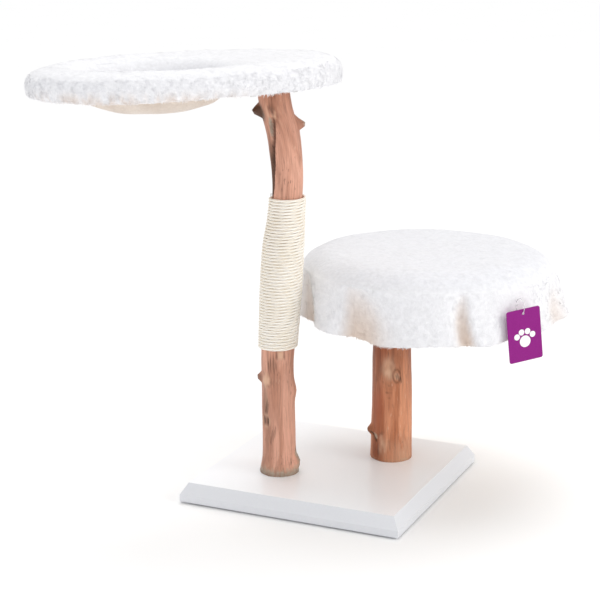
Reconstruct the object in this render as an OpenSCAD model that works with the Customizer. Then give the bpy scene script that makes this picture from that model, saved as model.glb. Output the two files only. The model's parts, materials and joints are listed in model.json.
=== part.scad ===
// Two-trunk cat tree: a bevelled square base, two natural trunks, a rope-wound scratching length,
// an oval lounge with a slung bowl, and a round seat under a loose draped cover.
// X runs from the tall trunk to the short one, Z is up, and the origin is on the floor
// under the centre of the base plate.

/* [Base plate] */
// Side of the square base plate
base_side = 400; // [340:5:480]
// Thickness of the base plate
base_t = 32; // [26:1:40]
// Height of the plain edge under the bevel
edge_h = 12; // [6:1:18]
// How far the bevel comes in at the top
bevel_in = 12; // [5:1:20]
// Thickness of the felt under the plate
felt_t = 3; // [2:0.5:5]
// Border of bare plate left around the felt
felt_border = 18; // [10:1:30]

/* [Trunks] */
// Distance from the plate centre to the tall trunk
tall_out = 100; // [80:1:130]
// Length of the tall trunk
tall_len = 680; // [560:5:820]
// Mean diameter of the tall trunk
tall_d = 56; // [46:0.5:72]
// Distance from the plate centre to the short trunk
short_out = 114; // [100:1:140]
// Length of the short trunk
short_len = 325; // [265:5:400]
// Mean diameter of the short trunk
short_d = 69; // [56:1:84]

/* [Rope] */
// Diameter of the sisal rope
rope_d = 5.2; // [4:0.1:8]
// Height of the lowest turn above the plate
wrap_from = 224; // [200:2:240]
// Length of the wound stretch
wrap_len = 265; // [180:5:285]

/* [Lounge] */
// Length of the oval board
lounge_len = 505; // [440:1:610]
// Width of the oval board
lounge_wid = 305; // [270:5:370]
// Thickness of the board
lounge_board_t = 15; // [12:1:22]
// How far the board runs on past the tall trunk's head
lounge_over = 107.5; // [95:0.5:130]
// Turn of the oval about the vertical
lounge_turn = 8; // [0:1:15]
// Thickness of the foam
lounge_foam_t = 15; // [12:1:30]
// Thickness of the plush over the foam
plush_t = 10; // [6:1:14]
// Thickness of the padded plush around the edge
plush_side = 17; // [10:1:24]
// Length of the flat shelf between the bowl and the end over the trunk
shelf_len = 185; // [180:1:215]
// Width of the rim between the bowl and the far end
rim_end = 60; // [55:1:80]
// Width of the rim beside the bowl
rim_side = 52.5; // [50:0.5:65]
// Depth of the bowl below the board
bowl_drop = 42; // [30:1:70]

/* [Seat] */
// Diameter of the seat board
seat_d = 410; // [340:2:500]
// Thickness of the seat board
seat_board_t = 15; // [12:1:22]
// Gap between the rope and the seat's cover as it lifts past
seat_gap = 3; // [2:0.5:20]
// Thickness of the seat foam
seat_foam_t = 25; // [15:1:40]
// Thickness of the draped plush
cloth_t = 10; // [6:1:12]
// Drop of the hem below the top of the cover
skirt_drop = 122; // [95:1:145]
// How far the lobes of the skirt stand out at the hem
skirt_out = 13; // [6:1:18]

/* [Tag] */
// Width of the hang tag
tag_w = 62; // [45:1:70]
// Height of the hang tag
tag_h = 90; // [70:1:100]
// Thickness of the card
tag_t = 0.8; // [0.6:0.1:1.5]
// Tilt of the card as it hangs
tag_tilt = 6.5; // [0:0.5:12]

/* [Fasteners] */
// Diameter of the bolts
bolt_d = 10; // [8:1:12]
// How far a bolt reaches into a trunk
bolt_bite = 42; // [30:1:60]
// Diameter of the washers
washer_d = 24; // [22:1:26]
// Diameter of the wood screws
screw_d = 5; // [4:0.5:5]
// Length of the screws in the base
base_screw_len = 58; // [50:1:70]
// Length of the screws in the platforms
platform_screw_len = 45; // [35:1:60]

/* [Hidden] */

// Clearances
slip = 0.1;          // round a shank in its hole
air = 0.5;           // between soft pieces and what they cover
lift = 1.5;          // between the loose cover and the seat's edge

// Fastener details
head_af = bolt_d * 1.7;
head_h = bolt_d * 0.64;
washer_t = 2.5;
insert_d = bolt_d + 6;
insert_len = 25;
pit_d = washer_d + 4;             // counterbore for a head and its washer
pit_depth = washer_t + head_h + 3;
screw_head_d = screw_d * 2;
base_screw_off = (pit_d + screw_head_d) / 2 + 1;           // from the bolt to each screw
platform_screw_off = (washer_d + screw_head_d) / 2 + 1.5;
staple_w = 10;
staple_leg = 7;
staple_wire = 1.2;

// Heights
plate_z = felt_t + base_t;                      // top of the base plate
lounge_z = plate_z + tall_len;                  // underside of the lounge board
lounge_top = lounge_z + lounge_board_t;         // top of the lounge board
lounge_foam_top = lounge_top + lounge_foam_t;
lounge_plush_top = lounge_foam_top + plush_t;
seat_z = plate_z + short_len;                   // underside of the seat board
seat_top = seat_z + seat_board_t;
seat_foam_top = seat_top + seat_foam_t;
seat_cover_top = seat_foam_top + air + cloth_t;
hem_z = seat_cover_top - skirt_drop;

// Plan positions
tall_x = -tall_out;
short_x = short_out;
tall_head = -9;                                  // where the tall trunk's head ends up along X
lounge_x = tall_x + tall_head + lounge_over - lounge_len / 2;
mouth_len = lounge_len - shelf_len - rim_end;    // the opening that the bowl hangs in
mouth_wid = lounge_wid - 2 * rim_side;
bowl_x = lounge_x - lounge_len / 2 + rim_end + mouth_len / 2;
// The seat stands far enough out for its cover to lift past the rope
rope_x = tall_x + 17 + 0.485 * tall_d + air + rope_d;
skirt_in = seat_d / 2 + lift;                    // inner radius of the cover
skirt_top = skirt_in + cloth_t + 1.5;            // outer radius at its shoulder
seat_x = rope_x + seat_gap + skirt_top + skirt_out / 2;

// Trunk shapes: [share of the length, bend along X, diameter over the mean diameter]
tall_line = [
    [0, 0, 1.25], [0.035, 0, 1.04], [0.13, -1, 1], [0.29, -3.5, 0.97], [0.38, 0, 1.04],
    [0.48, 4, 1.11], [0.59, 8.5, 1.1], [0.66, 14, 0.97], [0.72, 17, 0.93], [0.78, 17, 0.96],
    [0.87, 10, 1.02], [0.94, -4, 1], [1, tall_head, 0.98]
];
short_line = [[0, 0, 1.08], [0.1, 0, 1.04], [0.3, 0.5, 1], [0.6, -1, 0.96], [1, 0, 0.96]];
// Branch stubs and knots: [angle, height above the foot, how far it stands out, half width]
tall_knots = [
    [160, tall_len - 48, 13, 8], [-22, tall_len - 69, 12, 8], [-96, wrap_from - 12, 3, 8],
    [155, wrap_from - 52, 6, 6], [-159, wrap_from - 56, 3, 8], [-25, wrap_from - 74, 4, 12],
    [-30, 20, 5, 10]
];
short_knots = [[-95, 153, 3, 11], [-125, 156, 2, 12], [165, 52, 8, 8]];
trunk_sides = 32;

// Seat cover: the angles of the folds where the skirt tucks in
folds = [-155, -101, -75, -42, -8, 30, 66, 104, 140, 172];
fold_half = 9;       // half width of a fold, in degrees
fold_rise = 8;       // how much the hem rises at a fold
skirt_sides = 96;
oval_sides = 64;

// Tag details
tag_corner = 4;
tag_hole_d = 4.4;
tag_hole_down = 8;      // from the top edge of the card to its hole
tag_over_hem = 57;      // from the hem up to the hole
tag_clear = 5;          // from the skirt's lobes to the card
wire_r = 0.6;
eye_r = 3;
loop_rise = 9;          // from the hole up to the middle of the loop
print_t = 0.15;

function ring_of(n) = [for (i = [0 : n - 1]) i * 360 / n];
function mix(a, b, t) = a * (1 - t) + b * t;
function apart(a, b) = abs(((a - b + 540) % 360 + 360) % 360 - 180);
function column(table, k) = [for (row = table) [row[0], row[k]]];
// A value read from a table of stations, rounded over its corners
function eased(table, k, s, r = 0.02) =
    let (t = column(table, k))
    (lookup(s - r, t) + 2 * lookup(s, t) + lookup(s + r, t)) / 4;

// A solid through closed loops with the same number of points: capped at both ends, or joined end to end
module skin(loops, ring = false) {
    n = len(loops[0]);
    m = len(loops);
    sides = [
        for (i = [0 : ring ? m - 1 : m - 2], j = [0 : n - 1])
            let (a = i * n + j, b = i * n + (j + 1) % n, k = (i + 1) % m)
            each [[a, k * n + j, b], [b, k * n + j, k * n + (j + 1) % n]]
    ];
    caps = ring ? [] : [[for (j = [0 : n - 1]) j], [for (j = [n - 1 : -1 : 0]) (m - 1) * n + j]];
    polyhedron([for (l = loops) each l], concat(sides, caps));
}

// ---- Trunks ----

function swell(a, z, radius, knots) =
    [for (k = knots)
        let (across = apart(a, k[0]) * PI / 180 * radius, along = z - k[1])
        k[2] * exp(-pow(across / k[3], 2) - pow(along / k[3], 2))];
function sum(v, i = 0) = i < len(v) ? v[i] + sum(v, i + 1) : 0;

// Radius of a trunk at an angle and a height above its foot
function trunk_r(a, z, d, length, line, knots) =
    let (r = d / 2 * eased(line, 2, z / length))
    r * (1 + 0.02 * cos(2 * a + z / 3) + 0.015 * cos(3 * a - z / 5)) + sum(swell(a, z, r, knots));
function trunk_loop(z, d, length, line, knots, more = 0) =
    let (bend = eased(line, 1, z / length))
    [for (a = ring_of(trunk_sides))
        let (r = trunk_r(a, z, d, length, line, knots) + more)
        [bend + r * cos(a), r * sin(a), z]];
function tall_loop(z, more = 0) = trunk_loop(z, tall_d, tall_len, tall_line, tall_knots, more);
function tall_bend(z) = eased(tall_line, 1, z / tall_len);

// The rope and the trunk under it share their stations, so the gap between them is the same all over
function steps(from, to, n) = [for (i = [0 : n - 1]) from + i * (to - from) / n];
wrap_heights = concat(steps(wrap_from, wrap_from + wrap_len, 20), [wrap_from + wrap_len]);
tall_heights = concat(
    steps(0, wrap_from, 16), wrap_heights,
    [for (i = [1 : 14]) wrap_from + wrap_len + i * (tall_len - wrap_from - wrap_len) / 14]
);

short_heights = concat(steps(0, short_len, 24), [short_len]);

// Holes in one end of a trunk, drawn upwards from the end face
module end_holes(screw_off, screw_bite) {
    translate([0, 0, -1]) cylinder(d = insert_d, h = insert_len + 1, $fn = 48);
    translate([0, 0, -1]) cylinder(d = bolt_d + 1, h = bolt_bite + 6, $fn = 48);
    for (s = [-1, 1])
        translate([0, s * screw_off, -1]) cylinder(d = screw_d + 2 * slip, h = screw_bite + 3, $fn = 32);
}

module trunk(length, d, line, knots, heights) {
    foot = eased(line, 1, 0);
    head = eased(line, 1, 1);
    color("peru") difference() {
        skin([for (z = heights) trunk_loop(z, d, length, line, knots)]);
        translate([foot, 0, 0]) end_holes(base_screw_off, base_screw_len - base_t);
        translate([head, 0, length]) mirror([0, 0, 1])
            end_holes(platform_screw_off, platform_screw_len - min(lounge_board_t, seat_board_t));
    }
}

module tall_trunk() {
    translate([tall_x, 0, plate_z]) trunk(tall_len, tall_d, tall_line, tall_knots, tall_heights);
}

module short_trunk() {
    translate([short_x, 0, plate_z]) trunk(short_len, short_d, short_line, short_knots, short_heights);
}

// Where the bolts stand: [x, trunk]
foot_bolts = [tall_x + eased(tall_line, 1, 0), short_x + eased(short_line, 1, 0)];
tall_head_x = tall_x + eased(tall_line, 1, 1);
short_head_x = short_x + eased(short_line, 1, 1);

module tube(od, id, h) {
    difference() {
        cylinder(d = od, h = h, $fn = 64);
        translate([0, 0, -1]) cylinder(d = id, h = h + 2, $fn = 64);
    }
}

module trunk_inserts() {
    color("goldenrod") {
        for (x = foot_bolts) translate([x, 0, plate_z]) tube(insert_d, bolt_d + 2 * slip, insert_len);
        translate([tall_head_x, 0, lounge_z - insert_len]) tube(insert_d, bolt_d + 2 * slip, insert_len);
        translate([short_head_x, 0, seat_z - insert_len]) tube(insert_d, bolt_d + 2 * slip, insert_len);
    }
}

// ---- Base ----

// A square with its corners on the X and Y axes
module diamond(side, h) {
    cylinder(d = side * sqrt(2), h = h, $fn = 4);
}

module base_plate() {
    color("white") difference() {
        translate([0, 0, felt_t]) union() {
            diamond(base_side, edge_h);
            translate([0, 0, edge_h])
                cylinder(
                    d1 = base_side * sqrt(2), d2 = (base_side - 2 * bevel_in) * sqrt(2),
                    h = base_t - edge_h, $fn = 4
                );
        }
        for (x = foot_bolts) translate([x, 0, felt_t]) {
            translate([0, 0, -1]) cylinder(d = pit_d, h = pit_depth + 1, $fn = 48);
            cylinder(d = bolt_d + 2 * slip, h = base_t + 1, $fn = 48);
            for (s = [-1, 1]) translate([0, s * base_screw_off, 0]) screw_hole(base_t);
        }
    }
}

module floor_felt() {
    color("dimgray") difference() {
        diamond(base_side - 2 * felt_border, felt_t);
        for (x = foot_bolts) translate([x, 0, -1])
            cylinder(d = 2 * base_screw_off + 14, h = felt_t + 2, $fn = 64);
    }
}

module hex_bolt(shank) {
    cylinder(d = head_af / cos(30), h = head_h, $fn = 6);
    cylinder(d = bolt_d, h = head_h + shank, $fn = 48);
}

module washer() {
    tube(washer_d, bolt_d + 1, washer_t);
}

module countersunk_screw(length) {
    cylinder(d1 = screw_head_d, d2 = screw_d, h = screw_d / 2, $fn = 32);
    cylinder(d = screw_d, h = length - screw_d, $fn = 32);
    translate([0, 0, length - screw_d]) cylinder(d1 = screw_d, d2 = screw_d / 5, h = screw_d, $fn = 32);
}

module screw_hole(depth) {
    translate([0, 0, -0.01])
        cylinder(d1 = screw_head_d + 2 * slip, d2 = screw_d + 2 * slip, h = screw_d / 2, $fn = 32);
    cylinder(d = screw_d + 2 * slip, h = depth + 1, $fn = 32);
}

module base_bolts() {
    shank = base_t - pit_depth + washer_t + bolt_bite;
    color("silver") for (x = foot_bolts)
        translate([x, 0, felt_t + pit_depth - washer_t - head_h]) hex_bolt(shank);
}

module base_washers() {
    color("silver") for (x = foot_bolts) translate([x, 0, felt_t + pit_depth - washer_t]) washer();
}

module base_screws() {
    color("silver") for (x = foot_bolts, s = [-1, 1])
        translate([x, s * base_screw_off, felt_t]) countersunk_screw(base_screw_len);
}

// ---- Rope ----

module sisal_rope() {
    inner = [for (z = wrap_heights) tall_loop(z, air)];
    outer = [for (i = [len(wrap_heights) - 1 : -1 : 0]) tall_loop(wrap_heights[i], air + rope_d)];
    color("cornsilk") translate([tall_x, 0, plate_z]) skin(concat(outer, inner), ring = true);
}

// A staple lying on the XY plane, its crown along X and its legs pointing down
module staple() {
    translate([-staple_w / 2, -staple_wire / 2, -0.3]) cube([staple_w, staple_wire, staple_wire]);
    for (x = [-staple_w / 2, staple_w / 2 - staple_wire])
        translate([x, -staple_wire / 2, -staple_leg]) cube([staple_wire, staple_wire, staple_leg]);
}

module rope_staples() {
    color("silver") translate([tall_x, 0, plate_z])
        for (end = [0, 1], a = [60, 130])
            let (z = wrap_from + (end == 0 ? rope_d : wrap_len - rope_d))
            translate([tall_bend(z), 0, z]) rotate([0, 0, a])
            translate([trunk_r(a, z, tall_d, tall_len, tall_line, tall_knots) + air + rope_d, 0, 0])
            rotate([0, 90, 0]) staple();
}

// ---- Lounge ----

// A closed oval loop in the lounge's own turned frame, grown outwards by more
function oval(cx, length, width, more, z) =
    [for (a = ring_of(oval_sides))
        let (x = (length / 2 + more) * cos(a) + cx - lounge_x, y = (width / 2 + more) * sin(a))
        [lounge_x + x * cos(lounge_turn) - y * sin(lounge_turn),
         x * sin(lounge_turn) + y * cos(lounge_turn), z]];
function rim(more, z) = oval(lounge_x, lounge_len, lounge_wid, more, z);
function mouth(more, z) = oval(bowl_x, mouth_len, mouth_wid, more, z);
function flat(loop) = [for (p = loop) [p[0], p[1]]];

// A flat ring between the rim and the mouth
module lounge_slab(z, h, rim_more, mouth_more) {
    translate([0, 0, z]) difference() {
        linear_extrude(h) polygon(flat(rim(rim_more, 0)));
        translate([0, 0, -1]) linear_extrude(h + 2) polygon(flat(mouth(mouth_more, 0)));
    }
}

module lounge_board() {
    color("burlywood") difference() {
        lounge_slab(lounge_z, lounge_board_t, 0, 0);
        translate([tall_head_x, 0, lounge_top]) mirror([0, 0, 1]) platform_holes(lounge_board_t);
    }
}

// Bolt and screw holes through a board, drawn upwards from its top face
module platform_holes(t) {
    translate([0, 0, -1]) cylinder(d = bolt_d + 2 * slip, h = t + 2, $fn = 48);
    for (s = [-1, 1]) translate([0, s * platform_screw_off, 0]) screw_hole(t);
}

module lounge_foam() {
    color("lightyellow") difference() {
        lounge_slab(lounge_top, lounge_foam_t, 0, 0);
        translate([tall_head_x, 0, lounge_top - 1])
            cylinder(d = washer_d + 6, h = lounge_foam_t + 2, $fn = 64);
    }
}

lip_t = 6;              // plush down the wall of the mouth
under_t = 9;            // plush turned under the board
side_w = (lounge_wid * 0.93 - mouth_wid) / 2;     // narrowest width of the board beside the mouth
under_in = 0.52 * side_w;                         // how far the plush is turned in
module lounge_cover() {
    color("whitesmoke") skin(ring = true, loops = [
        mouth(-lip_t, lounge_z),
        mouth(-lip_t, lounge_foam_top),
        mouth(-lip_t + 3, lounge_plush_top - 4),
        mouth(8, lounge_plush_top),
        rim(-12, lounge_plush_top),
        rim(plush_side * 0.55, lounge_plush_top - 4),
        rim(plush_side * 0.95, lounge_foam_top - 4),
        rim(plush_side, lounge_top - 4),
        rim(plush_side * 0.8, lounge_z - 3),
        rim(2, lounge_z - under_t - air),
        rim(-under_in, lounge_z - under_t - air),
        rim(-under_in, lounge_z - air),
        rim(air, lounge_z - air),
        rim(air, lounge_foam_top + air),
        mouth(-air, lounge_foam_top + air),
        mouth(-air, lounge_z)
    ]);
}

bowl_t = 4;
bowl_flange = 0.32 * side_w;
module lounge_bowl() {
    bend = [8, 25, 40, 54, 68, 80, 90];      // degrees round the curve from the bottom to the mouth
    top = lounge_z - air;
    depth = bowl_drop - air;
    function dish(more, drop, a) =
        oval(
            bowl_x, (mouth_len - 2 * lip_t) * sin(a), (mouth_wid - 2 * lip_t) * sin(a),
            more, top - drop * cos(a)
        );
    color("linen") skin(concat(
        [for (i = [0 : 6]) dish(0, depth - bowl_t, bend[i])],
        [mouth(bowl_flange, top), mouth(bowl_flange, top - bowl_t)],
        [for (i = [5 : -1 : 0]) dish(bowl_t * sin(bend[i]), depth, bend[i])]
    ));
}

// Staples round an oval, pointing up into the board
module staples_round(cx, length, width, more, z, angles) {
    for (a = angles)
        let (p = [(length / 2 + more) * cos(a), (width / 2 + more) * sin(a)],
            tangent = atan2((width / 2 + more) * cos(a), -(length / 2 + more) * sin(a)))
        translate([lounge_x, 0, z]) rotate([0, 0, lounge_turn]) translate([p[0] + cx - lounge_x, p[1], 0])
        rotate([0, 0, tangent]) mirror([0, 0, 1]) staple();
}

module bowl_staples() {
    color("silver") staples_round(
        bowl_x, mouth_len, mouth_wid, bowl_flange / 2, lounge_z - air - bowl_t,
        [for (i = [0 : 11]) 15 + 30 * i]
    );
}

module cover_staples() {
    color("silver") staples_round(
        lounge_x, lounge_len, lounge_wid, -under_in / 2 - 2, lounge_z - air - under_t + 4,
        [for (i = [0 : 15]) 11.25 + 22.5 * i]
    );
}

// ---- Fasteners of both platforms ----

// Each platform's bolt: [x, top of the board]
platform_bolts_at = [[tall_head_x, lounge_top], [short_head_x, seat_top]];

module platform_bolts() {
    color("silver") for (i = [0, 1])
        let (b = platform_bolts_at[i], t = i == 0 ? lounge_board_t : seat_board_t)
        translate([b[0], 0, b[1] + washer_t + head_h]) mirror([0, 0, 1]) hex_bolt(washer_t + t + bolt_bite);
}

module platform_washers() {
    color("silver") for (b = platform_bolts_at) translate([b[0], 0, b[1]]) washer();
}

module platform_screws() {
    color("silver") for (b = platform_bolts_at, s = [-1, 1])
        translate([b[0], s * platform_screw_off, b[1]]) mirror([0, 0, 1])
            countersunk_screw(platform_screw_len);
}

// ---- Seat ----

module seat_board() {
    color("burlywood") difference() {
        translate([seat_x, 0, seat_z]) cylinder(d = seat_d, h = seat_board_t, $fn = 128);
        translate([short_head_x, 0, seat_top]) mirror([0, 0, 1]) platform_holes(seat_board_t);
    }
}

foam_round = 12;        // radius of the foam's upper edge
module seat_foam() {
    r = seat_d / 2;
    color("lightyellow") difference() {
        translate([seat_x, 0, seat_top]) union() {
            cylinder(r = r, h = seat_foam_t - foam_round, $fn = 128);
            cylinder(r = r - foam_round, h = seat_foam_t, $fn = 128);
            translate([0, 0, seat_foam_t - foam_round]) rotate_extrude($fn = 128)
                translate([r - foam_round, 0]) intersection() {
                    circle(r = foam_round, $fn = 64);
                    square(foam_round);
                }
        }
        translate([short_head_x, 0, seat_top - 1])
            cylinder(d = washer_d + 6, h = seat_foam_t + 2, $fn = 64);
    }
}

// Outer radius of the cover at an angle, where v goes from 0 at its shoulder to 1 at the hem
shoulder_z = seat_cover_top - 18;
function fold_at(a) = max([for (f = folds) exp(-pow(apart(a, f) / fold_half, 2))]);
function skirt_r(a, v) = skirt_top + v * skirt_out * (1 - 1.12 * fold_at(a));
function skirt_loop(v, in = 0) =
    [for (a = ring_of(skirt_sides))
        let (r = skirt_r(a, v) - in, z = mix(shoulder_z, hem_z + fold_rise * fold_at(a), v))
        [seat_x + r * cos(a), r * sin(a), z]];
function seat_round(r, z) =
    [for (a = ring_of(skirt_sides)) [seat_x + r * cos(a), r * sin(a), z]];

module seat_cover() {
    down = [0.25, 0.5, 0.75, 1];
    color("white") skin(concat(
        [
            seat_round(40, seat_cover_top), seat_round(skirt_top - 50, seat_cover_top - 1),
            seat_round(skirt_top - 24, seat_cover_top - 3), seat_round(skirt_top - 9, seat_cover_top - 8)
        ],
        [skirt_loop(0)],
        [for (v = down) skirt_loop(v)],
        [for (i = [3 : -1 : 0]) skirt_loop(down[i], cloth_t - 1)],
        [
            for (t = [0, 30, 60, 90])      // round the foam's edge
                seat_round(
                    skirt_in - foam_round + foam_round * cos(t),
                    seat_foam_top + air - foam_round + foam_round * sin(t)
                )
        ],
        [seat_round(40, seat_foam_top + air)]
    ));
}

// ---- Hang tag ----

tag_z = hem_z + tag_over_hem;
tag_y = -(skirt_top + skirt_out + tag_clear);
tag_x = seat_x - 0.272 * tag_y;
// Where the cloth is behind the tag's hole
eye_z = tag_z + loop_rise;
eye_v = (shoulder_z - eye_z) / (shoulder_z - hem_z);
cloth_y = -sqrt(pow(skirt_r(atan2(tag_y, tag_x - seat_x), eye_v), 2) - pow(tag_x - seat_x, 2));
eye_y = cloth_y - eye_r - 2 * wire_r;
loop_gap = eye_y - tag_y;
loop_r = (pow(loop_gap, 2) + pow(loop_rise, 2)) / (2 * loop_gap);

module wire_ring(r) {
    rotate_extrude($fn = 64) translate([r, 0]) circle(r = wire_r, $fn = 16);
}

module tag_barb() {
    stem_y = eye_y + eye_r - wire_r / 2;
    bar_y = cloth_y + cloth_t / 2;
    color("ghostwhite") translate([tag_x, 0, eye_z]) {
        translate([0, eye_y, 0]) wire_ring(eye_r);
        translate([0, stem_y, 0]) rotate([-90, 0, 0]) cylinder(r = wire_r, h = bar_y - stem_y, $fn = 24);
        translate([-5, bar_y, 0]) rotate([0, 90, 0]) cylinder(r = wire_r * 1.5, h = 10, $fn = 24);
    }
}

module tag_loop() {
    color("ghostwhite") translate([tag_x, eye_y - loop_r, eye_z]) rotate([0, 90, 0]) wire_ring(loop_r);
}

// Places its children, drawn in X and Y with the hole at the origin, on the face of the card
module on_card(off) {
    translate([tag_x, tag_y, tag_z]) rotate([0, -tag_tilt, 0]) rotate([90, 0, 0])
        translate([0, 0, off]) children();
}

module card_outline() {
    x = tag_w / 2 - tag_corner;
    top = tag_hole_down - tag_corner;
    low = tag_hole_down - tag_h + tag_corner;
    translate([-tag_w / 2, low]) square([tag_w, top - low]);
    translate([-x, low - tag_corner]) square([2 * x, tag_h]);
    for (sx = [-1, 1], y = [low, top]) translate([sx * x, y]) circle(r = tag_corner, $fn = 32);
}

module tag_card() {
    color("purple") on_card(-tag_t / 2) difference() {
        linear_extrude(tag_t) card_outline();
        translate([0, 0, -1]) cylinder(d = tag_hole_d, h = tag_t + 2, $fn = 32);
    }
}

// A plain paw: a heel pad and four toes
module tag_print() {
    heel = [0, -48];
    heel_r = tag_w * 0.16;
    toe_r = heel_r * 0.52;
    color("white") on_card(tag_t / 2) {
        translate(heel) cylinder(r = heel_r, h = print_t, $fn = 48);
        for (a = [34, 71, 109, 146])
            translate(heel + heel_r * 1.75 * [cos(a), sin(a)]) cylinder(r = toe_r, h = print_t, $fn = 32);
    }
}

base_plate();
floor_felt();
tall_trunk();
short_trunk();
trunk_inserts();
base_bolts();
base_washers();
base_screws();
sisal_rope();
rope_staples();
lounge_board();
lounge_foam();
lounge_cover();
lounge_bowl();
bowl_staples();
cover_staples();
platform_bolts();
platform_washers();
platform_screws();
seat_board();
seat_foam();
seat_cover();
tag_barb();
tag_loop();
tag_card();
tag_print();
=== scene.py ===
import json
import math
import bpy
import bmesh
import numpy as np
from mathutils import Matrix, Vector, noise

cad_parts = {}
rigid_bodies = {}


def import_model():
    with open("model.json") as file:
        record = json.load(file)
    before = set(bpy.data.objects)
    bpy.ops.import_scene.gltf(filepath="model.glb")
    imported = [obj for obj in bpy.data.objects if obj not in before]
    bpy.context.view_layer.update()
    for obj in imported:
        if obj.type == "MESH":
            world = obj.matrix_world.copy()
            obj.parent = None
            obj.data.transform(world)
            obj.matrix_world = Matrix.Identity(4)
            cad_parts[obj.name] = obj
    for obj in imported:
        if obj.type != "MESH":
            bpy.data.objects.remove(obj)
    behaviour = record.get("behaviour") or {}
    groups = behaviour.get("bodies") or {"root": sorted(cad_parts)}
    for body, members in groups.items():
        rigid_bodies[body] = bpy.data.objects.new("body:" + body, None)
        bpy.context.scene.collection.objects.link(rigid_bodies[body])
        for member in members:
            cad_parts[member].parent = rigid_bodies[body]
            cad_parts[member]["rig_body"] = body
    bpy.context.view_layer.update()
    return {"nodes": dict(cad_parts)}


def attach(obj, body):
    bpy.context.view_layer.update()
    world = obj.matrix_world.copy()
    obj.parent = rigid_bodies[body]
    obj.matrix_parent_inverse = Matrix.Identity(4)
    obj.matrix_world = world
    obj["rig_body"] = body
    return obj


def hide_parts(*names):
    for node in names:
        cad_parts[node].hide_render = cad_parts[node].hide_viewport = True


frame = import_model()
nodes = frame["nodes"]
scene = bpy.context.scene

# Sizes shared with the CAD, in millimetres; everything goes into the meshes in metres
tree = {
    "plateZ": 35.0, "tallX": -100.0, "shortX": 114.0, "tallLen": 680.0, "shortLen": 325.0,
    "wrapFrom": 224.0, "wrapLen": 265.0, "ropeD": 5.2,
    "loungeX": -254.0, "loungeTurn": 8.0, "loungeLen": 505.0, "loungeWid": 305.0, "loungeZ": 715.0,
    "bowlX": -316.5, "mouthLen": 260.0, "mouthWid": 200.0,
    "seatX": 177.36, "seatZ": 360.0, "seatTop": 410.5, "hemZ": 288.5,
    "tagBare": 34.0,
}


# small helpers

def deselectAll():
    if bpy.context.object and bpy.context.object.mode != "OBJECT":
        bpy.ops.object.mode_set(mode="OBJECT")
    bpy.ops.object.select_all(action="DESELECT")


def newPiece(name):
    obj = bpy.context.object
    obj.name = obj.data.name = name
    return obj


def getPoints(obj):
    co = np.zeros(len(obj.data.vertices) * 3)
    obj.data.vertices.foreach_get("co", co)
    return co.reshape(-1, 3)


def getNormals(obj):
    normals = np.zeros(len(obj.data.vertices) * 3)
    obj.data.vertices.foreach_get("normal", normals)
    return normals.reshape(-1, 3)


def setPoints(obj, co):
    obj.data.vertices.foreach_set("co", np.asarray(co, float).ravel())
    obj.data.update()


def addFloat(obj, name, values):
    layer = obj.data.attributes.new(name, "FLOAT", "POINT")
    layer.data.foreach_set("value", np.asarray(values, np.float32))


def addVector(obj, name, values):
    layer = obj.data.attributes.new(name, "FLOAT_VECTOR", "POINT")
    layer.data.foreach_set("vector", np.asarray(values, np.float32).ravel())


def meshFrom(name, points, faces):
    mesh = bpy.data.meshes.new(name)
    mesh.from_pydata([tuple(p) for p in points], [], faces)
    mesh.update()
    obj = bpy.data.objects.new(name, mesh)
    scene.collection.objects.link(obj)
    mesh.shade_smooth()
    return obj


def gridFaces(rows, cols):
    # faces of a closed tube, cols points round it in each row
    out = []
    for i in range(rows - 1):
        for j in range(cols):
            k = (j + 1) % cols
            out.append((i * cols + j, i * cols + k, (i + 1) * cols + k, (i + 1) * cols + j))
    return out


def fixNormals(obj):
    deselectAll()
    obj.select_set(True)
    bpy.context.view_layer.objects.active = obj
    bpy.ops.object.mode_set(mode="EDIT")
    bpy.ops.mesh.select_all(action="SELECT")
    bpy.ops.mesh.remove_doubles(threshold=1e-6)
    bpy.ops.mesh.normals_make_consistent(inside=False)
    bpy.ops.object.mode_set(mode="OBJECT")


def noiseAt(points, scale, seed=0, octaves=3):
    # smooth noise about 0, one value for each point
    shift = Vector((seed * 3.1, seed * 7.7, seed * 1.3))
    s = Vector(scale) if hasattr(scale, "__len__") else Vector((scale,) * 3)
    return np.array([
        noise.fractal(Vector((p[0] * s[0], p[1] * s[1], p[2] * s[2])) + shift, 1.0, 2.0, octaves)
        for p in points
    ])


def apart(a, b):
    return np.abs((a - b + 180.0) % 360.0 - 180.0)


def bump(x, width, power=2.0):
    return np.exp(-np.abs(x / width) ** power)


def ease(x, lo, hi):
    t = np.clip((x - lo) / (hi - lo), 0, 1)
    return t * t * (3 - 2 * t)


def setMaterials(obj, *mats):
    obj.data.materials.clear()
    for mat in mats:
        obj.data.materials.append(mat)


# camera, floor and lights

view = {"place": (-1.0071, -2.4753, 1.0173), "turn": -20.91, "down": 14.36, "lens": 95.54}

bpy.ops.object.camera_add()
camera = bpy.context.object
camera.name = "camera"
a, e = math.radians(view["turn"]), math.radians(view["down"])
back = Vector((math.sin(a) * math.cos(e), -math.cos(a) * math.cos(e), math.sin(e)))
camera.location = view["place"]
camera.rotation_mode = "QUATERNION"
camera.rotation_quaternion = (-back).to_track_quat("-Z", "Y")
camera.data.lens = view["lens"]
camera.data.clip_end = 60
scene.camera = camera

lights = [
    # name, place, size, power, colour
    ("keyBox", (2.2, -2.0, 1.7), 1.7, 34, (1.0, 0.985, 0.96)),
    ("fillBox", (-2.6, -2.2, 1.5), 2.0, 15, (0.95, 0.97, 1.0)),
]
for name, place, size, power, colour in lights:
    bpy.ops.object.light_add(type="AREA", location=place)
    lamp = bpy.context.object
    lamp.name = name
    lamp.rotation_mode = "QUATERNION"
    lamp.rotation_quaternion = (Vector(place) - Vector((0, 0, 0.4))).to_track_quat("Z", "Y")
    lamp.data.size = size
    lamp.data.energy = power
    lamp.data.color = colour

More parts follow.
